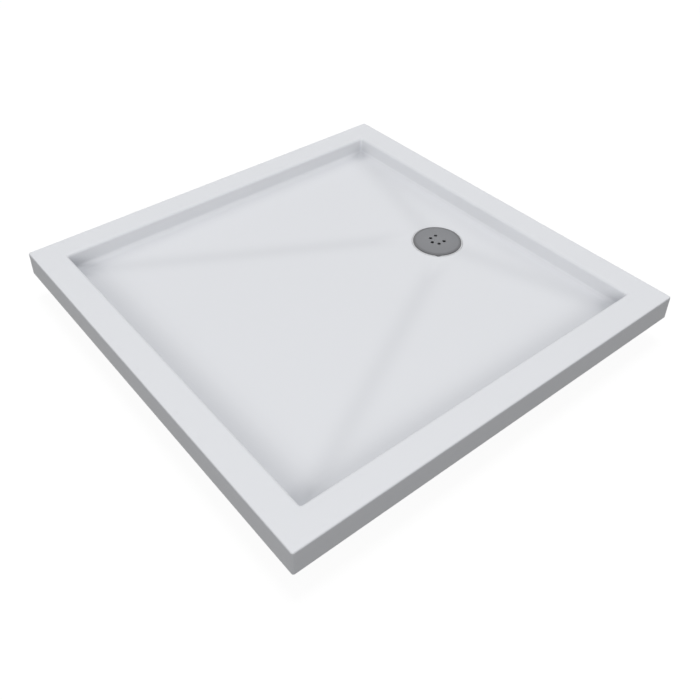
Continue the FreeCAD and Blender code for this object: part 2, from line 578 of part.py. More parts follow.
def make_leg(name, x, y):
    """Screw rod with its spanner hexagon and pivot, the lock nut, and the foot pad it turns in."""
    flats = 2 * (ROD_RADIUS + LOCK_NUT_WALL)
    corner = flats / math.sqrt(3)
    bevel = revolved([
        (0, NUT_BOTTOM), (flats / 2, NUT_BOTTOM), (corner, NUT_BOTTOM + NUT_CORNER_DROP),
        (corner, BRACKET_BOTTOM - NUT_CORNER_DROP), (flats / 2, BRACKET_BOTTOM), (0, BRACKET_BOTTOM),
    ], x, y)
    nut = hexagon(flats, NUT_BOTTOM, BRACKET_BOTTOM, x, y).common(bevel)
    save(nut.cut(disc(ROD_RADIUS + ROD_CLEARANCE, NUT_BOTTOM, BRACKET_BOTTOM, x, y)), "lock_nut_" + name)
    rod = disc(ROD_RADIUS, HEX_TOP, ROD_TOP, x, y)
    rod = rod.makeChamfer(ROD_CHAMFER, edges_at(rod, ROD_TOP))
    grip = hexagon(2 * (ROD_RADIUS + HEX_STEP), PAD_HEIGHT, HEX_TOP, x, y)
    pivot = disc(PIVOT_RADIUS, PAD_HEIGHT - PIVOT_DEPTH + PIVOT_END_GAP, PAD_HEIGHT, x, y)
    save(rod.fuse([grip, pivot]), "leg_rod_" + name)
    pad = revolved([
        (0, 0), (PAD_RADIUS - PAD_CHAMFER, 0), (PAD_RADIUS, PAD_CHAMFER), (PAD_RADIUS, PAD_EDGE),
        (PAD_HUB_RADIUS + PAD_HUB_FLARE, PAD_EDGE + PAD_DISH), (PAD_HUB_RADIUS, PAD_HEIGHT), (0, PAD_HEIGHT),
    ], x, y)
    socket = disc(PIVOT_RADIUS + PIVOT_CLEARANCE, PAD_HEIGHT - PIVOT_DEPTH, PAD_HEIGHT, x, y)
    save(pad.cut(socket), "foot_pad_" + name)


def make_screws():
    """Every bracket's screws, as one group of separate solids."""
    plate_z = BOARD_BOTTOM - BRACKET_PLATE
    screws = [countersink(px, py, plate_z, 0.0).removeSplitter() for px, py in all_screw_places()]
    save(Part.makeCompound(screws), "bracket_screws")


os.makedirs("parts", exist_ok=True)
make_tray()
make_core()
make_board()
make_battens()
make_waste()
make_cover()
make_cup()
make_trap()
make_outlet()
for leg_name, (leg_x, leg_y) in LEGS.items():
    make_bracket(leg_name, leg_x, leg_y)
    make_leg(leg_name, leg_x, leg_y)
make_screws()
print("rod held in its socket, leg wound out: %.1f mm" % (ROD_TOP - BRACKET_BOTTOM - LEG_TRAVEL))
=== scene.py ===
import json
import math

import bmesh
import bpy
import numpy as np
from mathutils import Matrix, Vector


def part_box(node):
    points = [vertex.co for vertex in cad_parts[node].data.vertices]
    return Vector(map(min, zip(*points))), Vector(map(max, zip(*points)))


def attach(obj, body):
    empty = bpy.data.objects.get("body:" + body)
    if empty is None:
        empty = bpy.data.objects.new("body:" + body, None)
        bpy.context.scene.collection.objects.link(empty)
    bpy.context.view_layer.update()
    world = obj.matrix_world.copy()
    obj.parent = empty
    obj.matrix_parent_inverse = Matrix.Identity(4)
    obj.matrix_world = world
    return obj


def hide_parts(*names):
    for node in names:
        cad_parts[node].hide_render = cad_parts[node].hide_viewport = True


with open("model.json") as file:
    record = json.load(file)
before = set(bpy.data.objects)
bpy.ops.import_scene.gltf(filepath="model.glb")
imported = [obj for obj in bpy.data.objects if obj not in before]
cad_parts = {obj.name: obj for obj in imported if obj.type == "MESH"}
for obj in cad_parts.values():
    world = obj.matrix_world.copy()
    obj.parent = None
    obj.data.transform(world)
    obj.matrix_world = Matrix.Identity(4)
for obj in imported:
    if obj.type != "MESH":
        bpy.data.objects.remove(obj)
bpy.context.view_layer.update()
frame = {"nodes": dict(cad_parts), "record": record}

MM = 0.001
LEGS = ("front_left", "front_right", "back_left", "back_right", "centre")

# ---- the tray's sizes, in metres, as the frame has them -------------------------------------------------
TRAY_LOW, TRAY_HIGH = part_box("tray_shell")
HALF = TRAY_HIGH.x                      # half the tray's side
RIM_Z = TRAY_HIGH.z
SKIRT_Z = TRAY_LOW.z
COVER_LOW, COVER_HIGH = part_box("drain_cover")
FLANGE_LOW, FLANGE_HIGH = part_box("waste_flange")
WASTE = Vector((0.0, (FLANGE_LOW.y + FLANGE_HIGH.y) / 2, FLANGE_HIGH.z))
WASTE_XY = np.array([WASTE.x, WASTE.y])
RIM_WIDTH = 58 * MM
BASIN_HALF = HALF - RIM_WIDTH           # half the basin's side at the rim
WALL_LEAN = 7 / 36                      # a basin wall's run to its drop,
WALL_ANGLE = math.atan(1 / WALL_LEAN)   # and its angle from level
WALL_DEPTH = 36 * MM
COVE = 12 * MM                          # radius between wall and floor
FALL_START = 15.75 * MM                 # rim's inner edge to where the falls begin
PAD_HALF = 57.1 * MM                    # flat square round the waste
PAD_CORNER = 3 * MM
RECESS = 54.6 * MM                      # waste recess, radius and depth
RECESS_DEPTH = 3.5 * MM
RECESS_EDGE = 0.8 * MM                  # radius of its upper and lower edge
WASTE_HOLE = 45.25 * MM
SHEET = 2.8 * MM
OUTER_CORNER = 4 * MM                   # upright corners of the skirt,
INNER_CORNER = 5 * MM                   # and of the basin at the rim
COVE_CORNER = 0.6                       # share of that radius left at the cove's end
EDGE = 3 * MM                           # radius of the rim's outer edge,
BASIN_EDGE = 7 * MM                     # and of its edge over the basin
VALLEY = 0.26 * MM                      # softness of the front valleys, as a height,
BACK_VALLEY = 1.1 * MM                  # of the back valleys,
PAD_SOFT = 0.5 * MM                     # and of the flat square's sides
MARGIN = 1 * MM                         # allowed when the basin's skin is told from the rest

# ---- the shell's grid -----------------------------------------------------------------------------------
SIDE_POINTS = 56                        # of a loop, along a side and round a corner
CORNER_POINTS = 8
FLOOR_CROWD = 1.5                       # how much the floor's rows crowd towards the waste


# ---- number helpers -------------------------------------------------------------------------------------
def ramp(value, start, reach):
    """0 up to the start, 1 from a reach further on, and straight between."""
    return np.clip((value - start) / reach, 0, 1)


def bell(distance, width):
    """A bell curve: 1 at no distance, and 0.37 at the width."""
    return np.exp(-(distance / width) ** 2)


def all_round(count):
    """Equal turns round a full circle, from 0."""
    return np.arange(count) * 2 * np.pi / count


def box_middle(low, high):
    """The middle of a node's box, seen from above."""
    return (low.x + high.x) / 2, (low.y + high.y) / 2


# ---- mesh helpers ---------------------------------------------------------------------------------------
SAME_POINT = 1e-6                       # points nearer than this, in metres, are merged
NO_LENGTH = 1e-7                        # and shorter edges are dissolved


def grid_faces(rows, columns, wrap=True):
    """Quads of a grid of rows by columns, as index rows; wrap joins the last column to the first."""
    last = columns if wrap else columns - 1
    row, column = np.meshgrid(np.arange(rows - 1), np.arange(last), indexing="ij")
    here, after = row * columns, (row + 1) * columns
    right = (column + 1) % columns
    return np.stack([here + column, here + right, after + right, after + column], -1).reshape(-1, 4)


def make_mesh(name, points, faces, sharp=35.0, thickness=0.0):
    """An object from arrays of points and faces, smooth except across edges sharper than the angle.

    Points that meet are merged, which closes seams and poles. Faces are turned outwards, or upwards on
    an open sheet, which is then given its thickness below.
    """
    mesh = bpy.data.meshes.new(name)
    mesh.from_pydata(np.asarray(points).reshape(-1, 3).tolist(), [], np.asarray(faces).tolist())
    form = bmesh.new()
    form.from_mesh(mesh)
    bmesh.ops.remove_doubles(form, verts=form.verts, dist=SAME_POINT)
    bmesh.ops.dissolve_degenerate(form, edges=form.edges, dist=NO_LENGTH)
    bmesh.ops.recalc_face_normals(form, faces=form.faces)
    if thickness:
        if sum(face.normal.z * face.calc_area() for face in form.faces) < 0:
            bmesh.ops.reverse_faces(form, faces=form.faces)
        bmesh.ops.solidify(form, geom=form.faces, thickness=thickness)
    form.to_mesh(mesh)
    form.free()
    mesh.shade_smooth()
    mesh.set_sharp_from_angle(angle=math.radians(sharp))
    piece = bpy.data.objects.new(name, mesh)
    bpy.context.scene.collection.objects.link(piece)
    return piece


def join_parts(parts):
    """One array of points and one of faces from several (points, faces) pairs."""
    points, faces, used = [], [], 0
    for part_points, part_faces in parts:
        points.append(part_points)
        faces.append(np.asarray(part_faces) + used)
        used += len(part_points)
    return np.concatenate(points), np.concatenate(faces)


def polar_points(radius, level, turns, centre):
    """Points about an upright axis, for each row and turn: x = radius cos, y = radius sin, z = level."""
    x = centre[0] + radius * np.cos(turns)
    y = centre[1] + radius * np.sin(turns)
    return np.stack([x, y, np.broadcast_to(level, x.shape)], -1).reshape(-1, 3)


def turned(profile, centre, count, start=0.0, sweep=2 * np.pi):
    """Profile of (radius, z) points turned about an upright axis.

    A profile that starts and ends on the axis closes itself; one that encloses an area repeats its
    first point. A part turn is left open at its ends.
    """
    profile = np.asarray(profile, float)
    whole = math.isclose(sweep, 2 * np.pi)
    turns = start + sweep * np.arange(count) / (count if whole else count - 1)
    points = polar_points(profile[:, :1], profile[:, 1:], turns, centre)
    return points, grid_faces(len(profile), count, whole)


def box_section(inner, outer, low, high):
    """A closed four-sided profile between two radii and two levels."""
    return [(inner, low), (outer, low), (outer, high), (inner, high), (inner, low)]


def arc_bar(section, centre, start, sweep, count):
    """A ring's sector with a four-sided section, its two ends closed by quads."""
    points, faces = turned(section, centre, count, start, sweep)
    ends = [[0, count, 2 * count, 3 * count],
            [count - 1, 4 * count - 1, 3 * count - 1, 2 * count - 1]]
    return points, np.concatenate([faces, ends])


def place(piece, body, slot, *nodes):
    """The piece rides on a body, takes a slot's finish and stands for CAD nodes."""
    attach(piece, body)
    if nodes:
        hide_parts(*nodes)
    piece.data.materials.append(FINISH[slot])
    return piece


# ---- shader groups --------------------------------------------------------------------------------------
class Net:
    """Short hand for building a node tree."""

    def __init__(self, tree):
        self.tree = tree

    def link(self, source, target):
        self.tree.links.new(source, target)

    def put(self, socket, value):
        """Sets a socket's own value, or links a source to it."""
        if isinstance(value, (int, float, tuple)):
            socket.default_value = value
        else:
            self.link(value, socket)

    def node(self, kind, inputs=None, **settings):
        """A new node: settings are its properties, and inputs a value or source by name or place."""
        made = self.tree.nodes.new(kind)
        for key, value in settings.items():
            setattr(made, key, value)
        for key, value in (inputs or {}).items():
            self.put(made.inputs[key], value)
        return made

    def math(self, operation, a, b=None, c=None, clamp=False):
        made = self.node("ShaderNodeMath", operation=operation, use_clamp=clamp)
        for socket, value in zip(made.inputs, (a, b, c)):
            if value is not None:
                self.put(socket, value)
        return made.outputs[0]

    def noise(self, vector, scale, detail=2.0):
        inputs = {"Vector": vector, "Scale": scale, "Detail": detail}
        return self.node("ShaderNodeTexNoise", inputs).outputs[0]

    def mix(self, factor, a, b):
        """The colour a where the factor is 0, and b where it is 1."""
        inputs = {"Factor": factor, "A": a, "B": b}
        return self.node("ShaderNodeMix", inputs, data_type="RGBA").outputs["Result"]

    def split(self, vector):
        return self.node("ShaderNodeSeparateXYZ", {0: vector}).outputs


def new_group(name, inputs, outputs):
    """An empty shader group with named float, colour or vector sockets: its net, and its input and
    output sockets."""
    tree = bpy.data.node_groups.new(name, "ShaderNodeTree")
    kinds = {"f": "NodeSocketFloat", "c": "NodeSocketColor", "v": "NodeSocketVector"}
    for way, sockets in (("INPUT", inputs), ("OUTPUT", outputs)):
        for label, kind in sockets:
            tree.interface.new_socket(label, in_out=way, socket_type=kinds[kind])
    net = Net(tree)
    return net, net.node("NodeGroupInput").outputs, net.node("NodeGroupOutput").inputs


def mottle_group():
    """Slow uneven tone: a colour lightened and darkened by two sizes of noise."""
    inputs = [("Position", "v"), ("Colour", "c"), ("Scale", "f"), ("Amount", "f")]
    net, given, out = new_group("mottle", inputs, [("Colour", "c"), ("Mask", "f")])
    broad = net.noise(given["Position"], given["Scale"], 3.0)
    fine = net.noise(given["Position"], net.math("MULTIPLY", given["Scale"], 9.0), 5.0)
    mixed = net.math("ADD", net.math("MULTIPLY", broad, 0.65), net.math("MULTIPLY", fine, 0.35))
    swing = net.math("MULTIPLY", net.math("SUBTRACT", mixed, 0.5), given["Amount"])
    shade = {0: given["Colour"], "Scale": net.math("ADD", swing, 1.0)}
    net.link(net.node("ShaderNodeVectorMath", shade, operation="SCALE").outputs[0], out["Colour"])
    net.link(mixed, out["Mask"])
    return net.tree


def grain_group():
    """Wood grain along one axis: stretched noise bent into rings, with fine pores."""
    inputs = [("Position", "v"), ("Light", "c"), ("Dark", "c"), ("Rings", "f")]
    net, given, out = new_group("grain", inputs, [("Colour", "c"), ("Height", "f")])
    bend = net.noise(given["Position"], 3.0)
    across = net.math("ADD", net.split(given["Position"])["Y"], net.math("MULTIPLY", bend, 0.35))
    wave = net.math("SINE", net.math("MULTIPLY", across, given["Rings"]))
    rings = net.math("MULTIPLY_ADD", wave, 0.5, 0.5)
    pores = net.noise(given["Position"], 60.0, 4.0)
    mask = net.math("MULTIPLY_ADD", rings, 0.55, net.math("MULTIPLY", pores, 0.45), clamp=True)
    net.link(net.mix(mask, given["Light"], given["Dark"]), out["Colour"])
    net.link(mask, out["Height"])
    return net.tree


GROUPS = {"mottle": mottle_group(), "grain": grain_group()}


# ---- finishes -------------------------------------------------------------------------------------------
class Finish:
    """One material: a Principled shader with Object coordinates to hand."""

    def __init__(self, name, roughness, metallic=0.0, ior=1.5):
        self.material = bpy.data.materials.new(name)
        self.material.use_nodes = True
        self.net = Net(self.material.node_tree)
        self.shader = self.material.node_tree.nodes["Principled BSDF"]
        self.shader.inputs["Roughness"].default_value = roughness
        self.shader.inputs["Metallic"].default_value = metallic
        self.shader.inputs["IOR"].default_value = ior
        self.position = self.net.node("ShaderNodeTexCoord").outputs["Object"]

    def group(self, name, **values):
        """The outputs of a shared group, placed here with its own values."""
        inputs = {"Position": self.position, **values}
        return self.net.node("ShaderNodeGroup", inputs, node_tree=GROUPS[name]).outputs

    def noise(self, scale, detail):
        return self.net.noise(self.position, scale, detail)

    def mapped(self, scale=(1, 1, 1), turn=(0, 0, 0), shift=(0, 0, 0)):
        inputs = {"Vector": self.position, "Scale": scale, "Rotation": turn, "Location": shift}
        return self.net.node("ShaderNodeMapping", inputs).outputs[0]

    def colour(self, source):
        self.net.link(source, self.shader.inputs["Base Color"])

    def mottled(self, colour, scale, amount):
        """An uneven tone of one colour; returns its mask."""
        out = self.group("mottle", Colour=(*colour, 1.0), Scale=scale, Amount=amount)
        self.colour(out["Colour"])
        return out["Mask"]

    def rough(self, mask, low, high):
        spread = self.net.math("MULTIPLY_ADD", mask, high - low, low)
        self.net.link(spread, self.shader.inputs["Roughness"])

    def bump(self, height, depth, strength):
        inputs = {"Strength": strength, "Distance": depth, "Height": height}
        self.net.link(self.net.node("ShaderNodeBump", inputs).outputs[0], self.shader.inputs["Normal"])


def acrylic():
    """Glossy cool white sheet with a faint surface ripple. The shell's own attribute is the share of grey
    at each place:
    the sheet's plain tone, with painted shade in the basin and painted light on the +Y wall; the greyer
    places are a little rougher."""
    made = Finish("white_acrylic", 0.34, ior=1.49)
    made.shader.inputs["Specular IOR Level"].default_value = 0.1
    white, full_grey = (0.815, 0.827, 0.855, 1.0), (0.50, 0.512, 0.54, 1.0)
    unshaded = made.group("mottle", Colour=white, Scale=6.0, Amount=0.015)
    painted_shade = made.net.node("ShaderNodeAttribute", attribute_name="painted_shade").outputs["Fac"]
    # the grey share mixes the painted shade, and the painted light on the +Y wall, into the sheet's colour
    made.colour(made.net.mix(painted_shade, unshaded["Colour"], full_grey))
    made.rough(made.net.math("MULTIPLY_ADD", painted_shade, 0.5, unshaded["Mask"]), 0.28, 0.42)
    made.bump(made.noise(90.0, 2.0), 0.05 * MM, 0.25)
    return made.material


def cover_grey():
    """Satin grey with a fine even grain, and painted shade that darkens it towards the rolled edge and the
    lifting tab, by the distance from the middle.
    """
    made = Finish("cover_grey", 0.45)
    ramp_end = 56 * MM                  # just past the lifting tab
    # the grey's own tone in the middle, then painted shade: darker towards the rolled edge and the tab
    tones = ((0.0, 0.222), (0.80, 0.20), (0.87, 0.14), (1.0, 0.085))
    plan = made.mapped(scale=(1, 1, 0), shift=(-WASTE.x, -WASTE.y, 0))
    length = made.net.node("ShaderNodeVectorMath", {0: plan}, operation="LENGTH").outputs["Value"]
    share = made.net.math("DIVIDE", length, ramp_end, clamp=True)
    grey_with_edge_shade = made.net.node("ShaderNodeValToRGB", {0: share})
    stops = grey_with_edge_shade.color_ramp.elements
    for spot, _ in tones[1:-1]:
        stops.new(spot)
    for stop, (_, tone) in zip(stops, tones):
        stop.color = (tone, 1.02 * tone, 1.08 * tone, 1.0)
    out = made.group("mottle", Colour=grey_with_edge_shade.outputs["Color"], Scale=30.0, Amount=0.06)
    made.colour(out["Colour"])
    made.rough(out["Mask"], 0.38, 0.55)
    made.bump(made.noise(900.0, 3.0), 0.04 * MM, 0.5)
    return made.material


def moulded(name, colour, roughness):
    """Moulded plastic with a fine sparked texture."""
    made = Finish(name, roughness)
    mask = made.mottled(colour, scale=25.0, amount=0.06)
    made.rough(mask, roughness - 0.07, roughness + 0.07)
    made.bump(made.noise(1400.0, 2.0), 0.03 * MM, 0.6)
    return made.material


def plated(name, colour, roughness):
    """Zinc plate: bright metal with a slightly cloudy passivate."""
    made = Finish(name, roughness, metallic=1.0)
    mask = made.mottled(colour, scale=60.0, amount=0.22)
    made.rough(mask, roughness - 0.08, roughness + 0.12)
    made.bump(made.noise(700.0, 3.0), 0.02 * MM, 0.4)
    return made.material


def rubber():
    """Matt black rubber with a faint bloom."""
    made = Finish("gasket_rubber", 0.75)
    made.mottled((0.028, 0.028, 0.03), scale=40.0, amount=0.35)
    made.bump(made.noise(1500.0, 2.0), 0.03 * MM, 0.6)
    return made.material


def glass_fibre():
    """Chopped strands in resin: three directions of thin stretched noise over a honey tone."""
    made = Finish("glass_fibre", 0.38)
    strands = None
    for turn in (0.35, 1.4, 2.45):
        vector = made.mapped(scale=(420.0, 26.0, 60.0), turn=(0.0, 0.0, turn))
        above = made.net.math("SUBTRACT", made.net.noise(vector, 1.0, 1.0), 0.52, clamp=True)
        streak = made.net.math("MULTIPLY", above, 6.0, clamp=True)
        strands = streak if strands is None else made.net.math("MAXIMUM", strands, streak)
    resin = made.net.mix(strands, (0.42, 0.39, 0.29, 1.0), (0.66, 0.64, 0.55, 1.0))
    out = made.group("mottle", Colour=resin, Scale=9.0, Amount=0.3)
    made.colour(out["Colour"])
    made.rough(strands, 0.28, 0.5)
    made.bump(strands, 0.35 * MM, 0.8)
    return made.material


def filler():
    """Trowelled rigid filler: sandy tone with small voids."""
    made = Finish("core_filler", 0.85)
    made.mottled((0.62, 0.55, 0.40), scale=30.0, amount=0.3)
    made.bump(made.noise(260.0, 5.0), 0.4 * MM, 0.7)
    return made.material


def plywood():
    """Board: face veneer grain along X, and alternating plies where an edge shows."""
    made = Finish("plywood", 0.7)
    net = made.net
    face = made.group("grain", Position=made.mapped(scale=(1.2, 12.0, 12.0)), Rings=16.0,
                      Light=(0.62, 0.45, 0.27, 1.0), Dark=(0.46, 0.30, 0.16, 1.0))
    board_low, board_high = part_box("base_board")
    plies = 7 / (board_high.z - board_low.z)            # for each metre of thickness
    layer = net.math("MULTIPLY_ADD", net.split(made.position)["Z"], plies, -board_low.z * plies)
    odd = net.math("GREATER_THAN", net.math("MODULO", layer, 2.0), 1.0)
    edge = net.mix(odd, (0.58, 0.42, 0.25, 1.0), (0.33, 0.20, 0.10, 1.0))
    upward = net.split(net.node("ShaderNodeNewGeometry").outputs["Normal"])["Z"]
    on_face = net.math("GREATER_THAN", net.math("ABSOLUTE", upward), 0.7)
    made.colour(net.mix(on_face, edge, face["Colour"]))
    made.bump(face["Height"], 0.15 * MM, 0.5)
    return made.material


def timber():
    """Sawn softwood with grain along the batten."""
    made = Finish("timber", 0.75)
    face = made.group("grain", Position=made.mapped(scale=(2.0, 25.0, 25.0)), Rings=9.0,
                      Light=(0.70, 0.53, 0.33, 1.0), Dark=(0.52, 0.35, 0.19, 1.0))
    made.colour(face["Colour"])
    made.bump(face["Height"], 0.2 * MM, 0.6)
    return made.material


FINISH = {
    "white_acrylic": acrylic(),
    "cover_grey": cover_grey(),
    "glass_fibre": glass_fibre(),
    "core_filler": filler(),
    "plywood": plywood(),
    "timber": timber(),
    "bracket_plastic": moulded("bracket_plastic", (0.030, 0.030, 0.033), 0.5),
    "pad_plastic": moulded("pad_plastic", (0.042, 0.042, 0.046), 0.55),
    "plated_steel": plated("plated_steel", (0.62, 0.62, 0.60), 0.3),
    "plated_screw": plated("plated_screw", (0.70, 0.60, 0.36), 0.3),
    "trap_plastic": moulded("trap_plastic", (0.735, 0.742, 0.755), 0.4),
    "nut_plastic": moulded("nut_plastic", (0.55, 0.56, 0.57), 0.42),
    "cup_plastic": moulded("cup_plastic", (0.30, 0.31, 0.33), 0.42),
    "gasket_rubber": rubber(),
}


# ---- tray shell -----------------------------------------------------------------------------------------
def loop_places():
    """For each point round a loop: its side, its share along the side, and its outward direction.

    A side's points crowd towards its ends, where the corners and valleys are. On a corner's arc the
    share stays 1 and the direction turns a quarter.
    """
    along = (1 - np.cos(np.pi * np.arange(SIDE_POINTS) / SIDE_POINTS)) / 2
    share = np.concatenate([along, np.ones(CORNER_POINTS)])
    turn = np.concatenate([np.zeros(SIDE_POINTS), np.arange(CORNER_POINTS) / CORNER_POINTS])
    side = np.repeat(np.arange(4), SIDE_POINTS + CORNER_POINTS)
    return side, np.tile(share, 4), (side + np.tile(turn, 4)) * np.pi / 2


SIDE, SHARE, TURN = loop_places()
CORNER_X = np.array([1, 1, -1, -1, 1])
CORNER_Y = np.array([-1, 1, 1, -1, -1])


def loop_xy(half, radius, middle_y=0.0):
    """Rounded square: the arc centres joined in straight lines, pushed out by the radius.

    half and radius may each differ from point to point.
    """
    x = (half - radius) * (CORNER_X[SIDE] * (1 - SHARE) + CORNER_X[SIDE + 1] * SHARE)
    y = (half - radius) * (CORNER_Y[SIDE] * (1 - SHARE) + CORNER_Y[SIDE + 1] * SHARE)
    return np.stack([x + radius * np.cos(TURN), y + radius * np.sin(TURN) + middle_y], -1)


def flat(xy, z):
    """Points at one level, or at a level each."""
    return np.column_stack([xy, np.broadcast_to(z, len(xy))])


def soft_max(heights, softness):
    """Smooth greatest of several heights: softness times the log of the summed exponentials."""
    top = np.max(heights, 0)
    return top + softness * np.log(np.sum(np.exp((np.array(heights) - top) / softness), 0))


FOOT = BASIN_HALF - FALL_START          # half side of the square where the falls begin
WALL_FOOT = BASIN_HALF - WALL_LEAN * WALL_DEPTH
FALL_TOP = RIM_Z - WALL_DEPTH
FRONT_SLOPE = (FALL_TOP - WASTE.z) / (WASTE.y - PAD_HALF + FOOT)
SIDE_SLOPE = (FALL_TOP - WASTE.z) / (FOOT - PAD_HALF)
BACK_SLOPE = (FALL_TOP - WASTE.z) / (FOOT - WASTE.y - PAD_HALF)
# how the front, right, back and left falls climb along X and Y
GRADES = np.array([(0, -FRONT_SLOPE), (SIDE_SLOPE, 0), (0, BACK_SLOPE), (-SIDE_SLOPE, 0)])
BACK = 2                                # the back fall's place among them


def fall_heights(x, y):
    """Levels of the planes of the front, right, back and left fall."""
    return np.array([FALL_TOP - FRONT_SLOPE * (FOOT + y), FALL_TOP - SIDE_SLOPE * (FOOT - x),
                     FALL_TOP - BACK_SLOPE * (FOOT - y), FALL_TOP - SIDE_SLOPE * (FOOT + x)])


def floor_height(xy):
    """Four falls and the level pad, each a plane, joined by soft valleys."""
    front, right, back, left = fall_heights(xy[..., 0], xy[..., 1])
    falls = soft_max([front, left, right], VALLEY)
    falls = soft_max([falls, back], BACK_VALLEY)
    return soft_max([falls, np.full_like(falls, WASTE.z)], PAD_SOFT)


# ---- the acrylic's share of grey, its plain tone and the shade painted in the basin: tones as shares of the full grey, and widths in metres ---
PLAIN = 0.222                           # the sheet's own tone, where no shade is painted
# painted shade in the valleys
VALLEY_SHADE = 0.19
VALLEY_WIDTHS = (22 * MM, 27 * MM)      # of the front and the back valleys
VALLEY_RISE = 0.7 * MM                  # the front valleys' painted shade is full at this height over the pad
CORNER_CLEAR = 50 * MM                  # the back valleys' painted shade fades this near to the basin's corner,
WASTE_CLEAR = 40 * MM                   # and this near to the waste's middle
WASTE_FADE = 10 * MM
# width of the painted shade in the basin's corners
CORNER_SHADE_WIDTH = 26 * MM
STEEP_SHADE = 0.20                       # painted shade on the steep fall behind the waste,
STEEP_RISE = 3 * MM                     # where it is this much above the other falls
STEEP_POWER = 1.5                       # and how its tone grows with the distance from the middle
# painted shade beside the -X, +X, +Y and -Y walls: the floor's tone, its width, and the tone of the wall's
# own foot
FOOT_SHADES = ((0.45, 22 * MM, 0.08), (0.52, 41 * MM, 0.22), (0.28, 42 * MM, 0.0), (0.60, 41 * MM, 0.22))
FLOOR_FADE = 6 * MM                     # the floor's painted shade ends at this height over the top of the falls
PAINTED_LIGHT_START = 1 * MM                     # painted light makes the +Y wall lighter from this far inside its foot,
PAINTED_LIGHT_FADE = 3 * MM                      # fully so after this, and less so again
RIM_FADE = 6 * MM                       # within this of the rim's level


def valley_shade_share(x, y, falls, from_corner, steep):
    """Painted shade in the valleys: bell curves across them, 0 to 1. A front valley's goes by the distance,
    in plan, from where the two highest falls meet, and a back one's by that from the line between the
    basin's corner and the waste."""
    order = np.argsort(-falls, 0)
    highest, second = np.take_along_axis(falls, order[:2], 0)
    across = (highest - second) / np.linalg.norm(GRADES[order[0]] - GRADES[order[1]], axis=1)
    front = bell(across, VALLEY_WIDTHS[0]) * ramp(highest, WASTE.z, VALLEY_RISE)
    way = np.array([-FOOT, WASTE.y - FOOT]) / math.hypot(FOOT, WASTE.y - FOOT)
    aside = (np.abs(x) - FOOT) * way[1] - (y - FOOT) * way[0]
    back = bell(aside, VALLEY_WIDTHS[1]) * (1 - steep) * (1 - bell(from_corner, CORNER_CLEAR))
    back *= ramp(np.hypot(x, y - WASTE.y), WASTE_CLEAR, WASTE_FADE)
    return np.maximum(front * (order[:2] != BACK).all(0), back)


def painted_shade_share(points):
    """The share of grey at each point of the shell, 0 to 1. It is the plain tone all over, and in the basin
    painted shade is added in the valleys, on the steep fall behind the waste, and by bell curves of the
    distance from the foot of each wall and from each corner. The +Y wall has painted light, less than the
    plain share."""
    x, y, z = points.T
    falls = fall_heights(x, y)
    steep = ramp(falls[BACK], np.max(np.delete(falls, BACK, 0), 0), STEEP_RISE)
    from_corner = np.hypot(WALL_FOOT - np.abs(x), WALL_FOOT - np.abs(y))
    valley = valley_shade_share(x, y, falls, from_corner, steep)
    depth = ramp(RIM_Z - z, 0, WALL_DEPTH) ** 2
    on_floor = 1 - ramp(z, FALL_TOP, FLOOR_FADE)
    walls = np.maximum([WALL_FOOT + x, WALL_FOOT - x, WALL_FOOT - y, WALL_FOOT + y], 0)
    # painted shade on the floor beside each wall, and on the wall's own foot
    foot = sum(np.maximum(tone * on_floor, own * depth) * bell(wall, width)
               for wall, (tone, width, own) in zip(walls, FOOT_SHADES))
    # painted shade in the basin's corners
    corner = bell(from_corner, CORNER_SHADE_WIDTH) * depth
    # painted shade on the steep fall behind the waste
    behind = steep * (falls[BACK] > WASTE.z) * (np.abs(x) / FOOT) ** STEEP_POWER * on_floor
    share = VALLEY_SHADE * valley + foot + corner + STEEP_SHADE * behind
    basin = (np.maximum(np.abs(x), np.abs(y)) < BASIN_HALF + MARGIN) & (z > WASTE.z - MARGIN)
    # painted light on the +Y wall, below the rim
    painted_light = ramp(y, WALL_FOOT - PAINTED_LIGHT_START, PAINTED_LIGHT_FADE) * ramp(RIM_Z - z, 0, RIM_FADE)
    return PLAIN + basin * ((1 - PLAIN) * np.clip(share, 0, 1) - PLAIN * painted_light * (1 - corner))


def tray_rows():
    """Rows of points from the skirt's lower edge over the rim, down the wall and cove, and over the
    floor to the waste hole. Each rounding is an arc in the plane across the loop."""
    rows = [flat(loop_xy(HALF, OUTER_CORNER), z) for z in np.linspace(SKIRT_Z, RIM_Z - EDGE, 5)]
    for turn in np.linspace(0, np.pi / 2, 8)[1:]:
        inset = EDGE * (1 - math.cos(turn))
        level = RIM_Z - EDGE + EDGE * math.sin(turn)
        rows.append(flat(loop_xy(HALF - inset, OUTER_CORNER - inset), level))
    run = BASIN_EDGE * math.tan(WALL_ANGLE / 2)
    start = HALF - EDGE
    for part in np.linspace(0, 1, 6)[1:]:
        half = start + (BASIN_HALF + run - start) * part
        radius = (OUTER_CORNER - EDGE) * (1 - part) + (INNER_CORNER + run) * part
        rows.append(flat(loop_xy(half, radius), RIM_Z))
    for turn in np.linspace(0, WALL_ANGLE, 12)[1:]:
        inset = BASIN_EDGE * math.sin(turn) - run
        level = RIM_Z - BASIN_EDGE * (1 - math.cos(turn))
        rows.append(flat(loop_xy(BASIN_HALF - inset, INNER_CORNER - inset), level))
    rows += cove_rows()
    rows += floor_rows(rows[-1][:, :2])
    return rows


def slope_round_loop():
    """The fall's slope that each point of a loop runs into, eased from side to side round the corners."""
    slopes = np.array([SIDE_SLOPE, BACK_SLOPE, SIDE_SLOPE, FRONT_SLOPE])
    part = TURN / (np.pi / 2) - SIDE
    return slopes[SIDE] * (1 - part) + slopes[(SIDE + 1) % 4] * part


